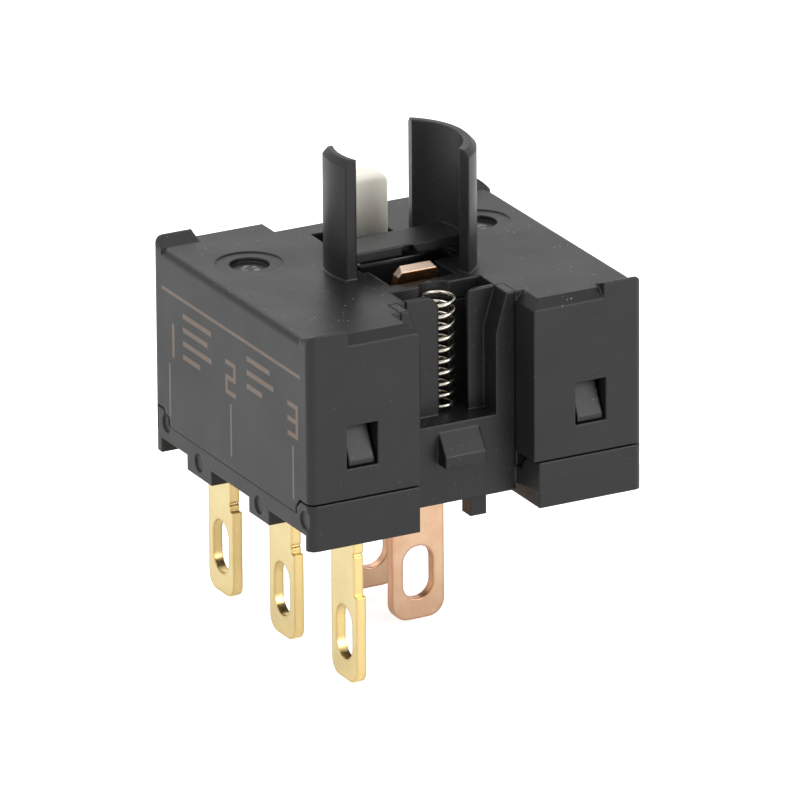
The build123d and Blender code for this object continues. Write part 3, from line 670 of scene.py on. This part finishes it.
def grid_faces(rows: int, columns: int) -> list[list[int]]:
    """Quads of a grid whose columns close on themselves.

    Args:
        rows: number of rings.
        columns: number of points on each ring.

    Returns:
        The quads, wound so that they face out of the tube.
    """
    row = np.arange(rows - 1)[:, None] * columns
    column = np.arange(columns)[None, :]
    after = (column + 1) % columns
    quads = np.stack([row + column, row + after, row + columns + after, row + columns + column],
                     axis=-1)
    return quads.reshape(-1, 4).tolist()


def closed_tube(rings: int, sides: int) -> list[list[int]]:
    """Quads of a tube and one face at each end.

    Args:
        rings: number of rings.
        sides: number of points on each ring.

    Returns:
        The faces.
    """
    faces = grid_faces(rings, sides)
    faces.append(list(range(sides))[::-1])
    faces.append(list(range((rings - 1) * sides, rings * sides)))
    return faces


def wire_sweep(path: np.ndarray, outward: np.ndarray, radius: float, sides: int) -> tuple:
    """Round wire along a path, with rounded ends.

    Each ring is centre + radius (cos a * outward + sin a * side), where side is the tangent
    crossed with outward. At both ends CAP_RINGS rings shrink along a quarter ellipse that is
    CAP_LENGTH radii long, from full size to the share of the curve that CAP_START leaves.

    Args:
        path: points along the wire, shape (n, 3).
        outward: unit vectors across the path, shape (n, 3).
        radius: radius of the wire.
        sides: points round each ring.

    Returns:
        Points and faces.
    """
    tangent = np.gradient(path, axis=0)
    tangent /= np.linalg.norm(tangent, axis=1)[:, None]
    outward = outward - (outward * tangent).sum(1)[:, None] * tangent
    outward /= np.linalg.norm(outward, axis=1)[:, None]
    side = np.cross(tangent, outward)
    curve = np.linspace(CAP_START, 1.0, CAP_RINGS) * math.pi / 2
    caps = np.sin(curve)
    back = np.cos(curve) * radius * CAP_LENGTH
    centre = np.vstack([path[:1] - tangent[:1] * back[:, None], path[1:-1],
                        path[-1:] + tangent[-1:] * back[::-1, None]])
    across, beside = (np.vstack([np.repeat(rows[:1], CAP_RINGS, 0), rows[1:-1],
                                 np.repeat(rows[-1:], CAP_RINGS, 0)])
                      for rows in (outward, side))
    scale = np.concatenate([caps, np.ones(len(path) - 2), caps[::-1]])
    angle = np.linspace(0, FULL_TURN, sides, endpoint=False)
    ring = (np.cos(angle)[None, :, None] * across[:, None, :]
            + np.sin(angle)[None, :, None] * beside[:, None, :])
    points = (centre[:, None, :] + radius * scale[:, None, None] * ring).reshape(-1, 3)
    return points, closed_tube(len(centre), sides)


def outward_normals(made: bpy.types.Object) -> None:
    """Turns every face of a closed mesh outwards."""
    work = bmesh.new()
    work.from_mesh(made.data)
    bmesh.ops.recalc_face_normals(work, faces=work.faces)
    work.to_mesh(made.data)
    work.free()


# ------------------------------------------------------------------ sub-assemblies
def shifted_copy(node: str, name: str,
                 shift: Callable[[np.ndarray], np.ndarray]) -> bpy.types.Object:
    """Copies a node's mesh into a new object and moves some of its points.

    Args:
        node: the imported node.
        name: name of the new object.
        shift: takes the points, shape (n, 3), and returns how far each one moves.

    Returns:
        The new object, linked to the scene, with no material.
    """
    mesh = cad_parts[node].data.copy()
    mesh.name = name
    points = np.empty(len(mesh.vertices) * 3)
    mesh.vertices.foreach_get("co", points)
    points = points.reshape(-1, 3)
    points = points + shift(points)
    mesh.vertices.foreach_set("co", points.ravel())
    mesh.update()
    mesh.materials.clear()
    made = bpy.data.objects.new(name, mesh)
    bpy.context.scene.collection.objects.link(made)
    return made


@dataclass
class Housing:
    """Black cover and base, with the parting line opened and the well's rib thinned."""

    body: str = "housing"
    cover: str = "cover"
    base: str = "base"
    seam_height: float = 9.72 * MM
    seam_lift: float = 0.08 * MM
    rib_front: float = -0.35 * MM
    rib_half: float = 1.75 * MM
    rib_thinned: float = 0.85 * MM
    tolerance: float = 0.002 * MM

    def open_seam(self, points: np.ndarray) -> np.ndarray:
        """Lifts every point that lies on the seam's plane; no other moves."""
        on_seam = np.abs(points[:, 2] - self.seam_height) < self.tolerance
        return np.outer(on_seam, (0.0, 0.0, self.seam_lift))

    def thin_rib(self, points: np.ndarray) -> np.ndarray:
        """Moves the front face of the rib between the lamp terminals towards the rear."""
        on_face = ((np.abs(points[:, 1] - self.rib_front) < self.tolerance)
                   & (np.abs(points[:, 0]) < self.rib_half))
        return np.outer(on_face, (0.0, self.rib_thinned, 0.0))

    def build(self, material: bpy.types.Material) -> None:
        """Builds both mouldings.

        Args:
            material: finish of both.
        """
        for node, name, shift in ((self.cover, "cover_shell", self.open_seam),
                                  (self.base, "base_shell", self.thin_rib)):
            made = shifted_copy(node, name, shift)
            made.data.materials.append(material)
            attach(made, self.body)
            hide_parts(node)


@dataclass
class CoilSpring:
    """Compression spring with closed ends, in place of its plain node."""

    node: str
    body: str
    diameter: float
    wire: float
    open_turns: float
    closed_low: float
    closed_high: float
    pressed_by: str | None = None
    travel: float = 2.5 * MM
    ease: float = 0.35
    closed_pitch: float = 1.02
    steps_per_turn: int = 56
    sides: int = 16

    def build(self, material: bpy.types.Material) -> bpy.types.Object:
        """Builds the spring between the node's lowest and highest point.

        The wire's middle turns about the axis at a constant radius. Its rise per turn is
        closed_pitch wire thicknesses on the closed turns. Over twice ease turns it goes, by the
        smooth step 3t^2 - 2t^3, to the open pitch between them. A spring that a joint presses
        gets a mesh of its own.

        Args:
            material: finish of the wire.

        Returns:
            The spring.
        """
        low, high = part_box(self.node)
        axis = (low + high) / 2
        turns = self.closed_low + self.open_turns + self.closed_high
        count = int(turns * self.steps_per_turn)
        turn = np.linspace(0, turns, count)
        rise_in = np.clip((turn - self.closed_low + self.ease) / (2 * self.ease), 0, 1)
        rise_out = np.clip((turns - self.closed_high - turn + self.ease) / (2 * self.ease), 0, 1)
        openness = (rise_in ** 2 * (3 - 2 * rise_in)) * (rise_out ** 2 * (3 - 2 * rise_out))
        closed_rise = self.wire * self.closed_pitch
        step = turn[1] - turn[0]
        open_share = openness.sum() * step
        length = high.z - low.z
        free = length - self.wire - closed_rise * (turns - open_share)
        pitch = closed_rise + openness * (free / open_share - closed_rise)
        height = np.concatenate([[0], np.cumsum((pitch[1:] + pitch[:-1]) / 2 * step)])
        height *= (length - self.wire) / height[-1]
        angle = turn * FULL_TURN
        radius = (self.diameter - self.wire) / 2
        outward = np.stack([np.cos(angle), np.sin(angle), np.zeros_like(angle)], axis=1)
        path = outward * radius
        path[:, 0] += axis.x
        path[:, 1] += axis.y
        path[:, 2] = low.z + self.wire / 2 + height
        points, faces = wire_sweep(path, outward, self.wire / 2, self.sides)
        made = mesh_object(self.node + "_wire", points, faces)
        outward_normals(made)
        made.data.materials.append(material)
        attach(made, self.body)
        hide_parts(self.node)
        if self.pressed_by:
            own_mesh(made)
        return made


@dataclass
class SnapSpring:
    """Tension spring with a round eye at each end, in place of its plain node."""

    node: str = "snap_spring"
    body: str = "snap_spring"
    diameter: float = 0.7 * MM
    wire: float = 0.12 * MM
    eye: float = 0.42 * MM
    turns: float = 19.5
    steps_per_turn: int = 40
    eye_from: float = 50
    eye_to: float = 385
    eye_steps: int = 48
    lead_steps: int = 12
    sides: int = 10

    def middle_line(self, length: float) -> np.ndarray:
        """Wire's middle line for eyes on the X axis at 0 and at a length.

        The coil turns about X at a constant radius. Each eye is a circle in the XZ plane, from
        eye_from to eye_to degrees, and an S-curve, the cubic 3t^2 - 2t^3, carries the wire from
        the circle to the coil.

        Args:
            length: distance between the middles of the eyes.

        Returns:
            Points, shape (n, 3).
        """
        radius = (self.diameter - self.wire) / 2
        start, end = self.eye + self.wire, length - self.eye - self.wire
        turn = np.linspace(0, self.turns, int(self.turns * self.steps_per_turn))
        angle = FULL_TURN * turn
        coil = np.stack([start + (end - start) * turn / self.turns,
                         radius * np.sin(angle), radius * np.cos(angle)], axis=1)
        round_eye = np.linspace(math.radians(self.eye_from), math.radians(self.eye_to),
                                self.eye_steps)
        eye = np.stack([self.eye * np.cos(round_eye), np.zeros(self.eye_steps),
                        self.eye * np.sin(round_eye)], axis=1)
        share = np.linspace(0, 1, self.lead_steps)[1:-1, None]
        ease = 3 * share ** 2 - 2 * share ** 3
        lead = eye[-1] + (coil[0] - eye[-1]) * ease
        far = eye[::-1] * (-1, 1, -1) + (length, 0, 0)
        trail = coil[-1] + (far[0] - coil[-1]) * ease
        return np.vstack([eye, lead, coil, trail, far])

    def build(self, material: bpy.types.Material) -> bpy.types.Object:
        """Winds the spring between the two bars that the node's eyes go round.

        Args:
            material: finish of the wire.

        Returns:
            The spring.
        """
        low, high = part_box(self.node)
        reach = self.eye + self.wire / 2
        first = np.array([(low.x + high.x) / 2, low.y + reach, low.z + reach])
        last = np.array([first[0], high.y - reach, high.z - reach])
        along = (last - first) / np.linalg.norm(last - first)
        beside = np.array([1.0, 0.0, 0.0])
        above = np.cross(beside, along)
        line = self.middle_line(float(np.linalg.norm(last - first)))
        path = first + line[:, :1] * along + line[:, 1:2] * beside + line[:, 2:] * above
        steady = np.tile(beside + 0.3 * above, (len(path), 1))
        points, faces = wire_sweep(path, steady, self.wire / 2, self.sides)
        made = mesh_object(self.node + "_wire", points, faces)
        outward_normals(made)
        made.data.materials.append(material)
        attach(made, self.body)
        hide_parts(self.node)
        return made


@dataclass
class MetalParts:
    """Terminals, contact arm and rivets, which keep their nodes."""

    finishes: dict[str, tuple[str, ...]] = field(default_factory=lambda: {
        "gold": ("common_terminal", "normally_open_terminal", "normally_closed_terminal"),
        "copper": ("front_lamp_terminal", "rear_lamp_terminal", "contact_arm"),
        "silver": ("moving_contact", "normally_open_contact", "normally_closed_contact"),
    })

    def dress(self, materials: dict[str, bpy.types.Material]) -> None:
        """Gives each metal part its finish."""
        for finish, names in self.finishes.items():
            for name in names:
                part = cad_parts[name]
                part.data.materials.clear()
                part.data.materials.append(materials[finish])


@dataclass
class Plunger:
    """White actuator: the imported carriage, with a softer stem above it."""

    node: str = "plunger"
    middle_x: float = 0.3 * MM
    half_x: float = 1.49 * MM
    front: float = 4.1 * MM
    rear: float = 5.45 * MM
    cut_height: float = 17.1 * MM
    sunk: float = 0.2 * MM
    weld: float = 0.0005 * MM
    side_round: float = 0.2 * MM
    shoulder: float = 0.55 * MM
    top_round: float = 0.34 * MM
    rings: int = 14
    corner_steps: int = 6

    def stem(self, top: float) -> tuple[np.ndarray, list]:
        """Rounded stem.

        Each ring is a rectangle with rounded corners. Near the top its half sizes shrink along a
        quarter circle, r - sqrt(r^2 - h^2), where h is the height above the rounding's start,
        with one radius across the stem and another through it.

        Args:
            top: height of its top.

        Returns:
            Points and faces.
        """
        turn = np.linspace(0, math.pi / 2, self.rings)
        start = top - self.shoulder
        height = np.concatenate([[self.cut_height - self.sunk, start - 0.05 * MM],
                                 start + self.shoulder * np.sin(turn)])
        inset_x = self.shoulder - np.sqrt(np.clip(
            self.shoulder ** 2 - np.clip(height - start, 0, None) ** 2, 0, None))
        above = np.clip(height - (top - self.top_round), 0, None)
        inset_y = self.top_round - np.sqrt(np.clip(self.top_round ** 2 - above ** 2, 0, None))
        half_x = self.half_x - inset_x
        half_y = (self.rear - self.front) / 2 - inset_y
        quarter = np.linspace(0, math.pi / 2, self.corner_steps)
        angle = np.concatenate([quarter + k * math.pi / 2 for k in range(4)])
        sign_x = np.repeat([1, -1, -1, 1], self.corner_steps)
        sign_y = np.repeat([1, 1, -1, -1], self.corner_steps)
        radius = np.minimum(self.side_round, half_y * 0.9)[:, None]
        x = sign_x * (half_x[:, None] - radius) + radius * np.cos(angle)
        y = sign_y * (half_y[:, None] - radius) + radius * np.sin(angle)
        z = np.broadcast_to(height[:, None], x.shape)
        points = np.stack([x + self.middle_x, y + (self.front + self.rear) / 2, z], axis=-1)
        return points.reshape(-1, 3), closed_tube(len(height), len(angle))

    def build(self, material: bpy.types.Material) -> bpy.types.Object:
        """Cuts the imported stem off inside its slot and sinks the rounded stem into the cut.

        Args:
            material: finish of the plunger.

        Returns:
            The plunger.
        """
        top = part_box(self.node)[1].z
        work = bmesh.new()
        work.from_mesh(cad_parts[self.node].data)
        bmesh.ops.remove_doubles(work, verts=work.verts, dist=self.weld)
        everything = [*work.verts, *work.edges, *work.faces]
        cut = bmesh.ops.bisect_plane(work, geom=everything, plane_co=(0, 0, self.cut_height),
                                     plane_no=(0, 0, 1), clear_outer=True)
        rim = [item for item in cut["geom_cut"] if isinstance(item, bmesh.types.BMEdge)]
        bmesh.ops.edgeloop_fill(work, edges=rim)
        for face in work.faces:
            face.smooth = False
        points, faces = self.stem(top)
        made = [work.verts.new(point) for point in points.tolist()]
        for face in faces:
            work.faces.new([made[index] for index in face]).smooth = True
        mesh = bpy.data.meshes.new("plunger_body")
        bmesh.ops.recalc_face_normals(work, faces=work.faces)
        work.to_mesh(mesh)
        work.free()
        body = bpy.data.objects.new("plunger_body", mesh)
        bpy.context.scene.collection.objects.link(body)
        body.data.materials.append(material)
        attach(body, "plunger")
        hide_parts(self.node)
        return body


# ------------------------------------------------------------------ studio
@dataclass
class Studio:
    """Pale floor, soft light and the camera."""

    azimuth: float = -27.758
    elevation: float = 20.502
    roll: float = -0.411
    distance: float = 0.620
    lens: float = 577.8
    aim_height: float = 7.4 * MM
    aim_right: float = 0.11 * MM
    aim_up: float = 3.27 * MM
    floor_glow: float = 0.62
    floor_mirror: float = 0.2
    even_light: float = 0.9
    mirror_light: float = 0.9
    light_aim: float = 12 * MM
    floor_radius: float = 3.0
    floor_points: int = 64
    lamps: tuple = (("key_light", (-0.26, -0.12, 0.30), 0.26, 0.42),
                    ("fill_light", (0.22, -0.34, 0.16), 0.30, 1.05),
                    ("back_light", (0.05, 0.32, 0.26), 0.24, 0.16))

    def camera(self) -> None:
        """Places the camera on a sphere about the underside of the base, then slides its view."""
        turn, tilt, roll = map(math.radians, (self.azimuth, self.elevation, self.roll))
        right = Vector((math.cos(turn), math.sin(turn), 0))
        back = Vector((math.sin(turn) * math.cos(tilt), -math.cos(turn) * math.cos(tilt),
                       math.sin(tilt)))
        up = back.cross(right)
        across = math.cos(roll) * right + math.sin(roll) * up
        upward = -math.sin(roll) * right + math.cos(roll) * up
        aim = Vector((0, 0, self.aim_height)) + across * self.aim_right + upward * self.aim_up
        lens = bpy.data.cameras.new("camera")
        lens.sensor_width = 36
        lens.lens = self.lens
        lens.clip_start, lens.clip_end = 0.05, 5
        made = bpy.data.objects.new("camera", lens)
        bpy.context.scene.collection.objects.link(made)
        turned = Matrix((across, upward, back)).transposed()
        made.matrix_world = Matrix.Translation(aim + back * self.distance) @ turned.to_4x4()
        bpy.context.scene.camera = made

    def lamp(self, name: str, place: tuple, size: float, power: float) -> None:
        """Adds a square soft light that faces the middle of the object.

        Args:
            name: name of the light.
            place: where it stands, in metres.
            size: length of its side.
            power: power in watts.
        """
        light = bpy.data.lights.new(name, "AREA")
        light.shape, light.size, light.energy = "SQUARE", size, power
        made = bpy.data.objects.new(name, light)
        made.location = place
        aim = Vector((0, 0, self.light_aim)) - Vector(place)
        made.rotation_mode = "QUATERNION"
        made.rotation_quaternion = aim.to_track_quat("-Z", "Y")
        bpy.context.scene.collection.objects.link(made)

    def light(self) -> None:
        """Sets the lamps and an even world that shows white behind and in reflections."""
        for lamp in self.lamps:
            self.lamp(*lamp)
        world = bpy.data.worlds.new("studio_world")
        bpy.context.scene.world = world
        world.use_nodes = True
        world.node_tree.nodes.clear()
        graph = Graph(world.node_tree)
        seen = by_ray(graph, 1.0, self.mirror_light)
        lit = graph.maths("MULTIPLY", graph.maths("LESS_THAN", seen, 0.001), self.even_light)
        white = graph.add("ShaderNodeBackground", Color=(1, 1, 1, 1),
                          Strength=graph.maths("ADD", seen, lit))
        output = graph.add("ShaderNodeOutputWorld")
        graph.link(white.outputs[0], output.inputs["Surface"])

    def floor(self) -> None:
        """Lays a pale round floor whose edge is far outside the view.

        It adds a plain glow for rays from the camera and for mirrored rays, so that it shows
        white and still takes the object's shadow.
        """
        angle = np.linspace(0, FULL_TURN, self.floor_points, endpoint=False)
        ring = np.stack([np.cos(angle), np.sin(angle), np.zeros_like(angle)], axis=1)
        made = mesh_object("floor", ring * self.floor_radius, [list(range(self.floor_points))],
                           smooth=False)
        material, graph, shader = start_material("floor_white")
        shader.inputs["Base Color"].default_value = (0.9, 0.9, 0.9, 1)
        shader.inputs["Roughness"].default_value = 0.9
        shader.inputs["Specular IOR Level"].default_value = 0.1
        glow = graph.add("ShaderNodeEmission",
                         Strength=by_ray(graph, self.floor_glow, self.floor_mirror))
        both = graph.add("ShaderNodeAddShader")
        graph.link(shader.outputs["BSDF"], both.inputs[0])
        graph.link(glow.outputs["Emission"], both.inputs[1])
        output = next(node for node in graph.tree.nodes if node.type == "OUTPUT_MATERIAL")
        graph.link(both.outputs[0], output.inputs["Surface"])
        made.data.materials.append(material)


# ------------------------------------------------------------------ main
def main() -> None:
    """Builds the studio and every sub-assembly."""
    logging.basicConfig(level=logging.INFO, format="%(name)s: %(message)s")
    scene = bpy.context.scene
    scene.view_settings.view_transform = "Standard"
    effects = Effects()
    studio = Studio()
    studio.camera()
    studio.light()
    studio.floor()
    log.info("studio ready")
    Housing().build(BLACK_MOULDING.build(effects))
    log.info("housing built")
    Plunger().build(IVORY_MOULDING.build(effects))
    log.info("plunger built")
    wire = BRIGHT_WIRE.build(effects)
    CoilSpring("button_return_spring", "housing", 1.7 * MM, 0.18 * MM, 9.2, 0.7, 0.7).build(wire)
    CoilSpring("plunger_return_spring", "housing", 1.4 * MM, 0.2 * MM, 6.0, 1.0, 1.0,
               pressed_by="plunger_slide").build(wire)
    SnapSpring().build(wire)
    log.info("springs wound")
    metals = {"gold": GOLD_PLATE.build(effects), "copper": ROSE_COPPER.build(effects),
              "silver": SILVER_CONTACT.build(effects)}
    MetalParts().dress(metals)
    log.info("metal parts dressed")


if __name__ == "__main__":
    main()
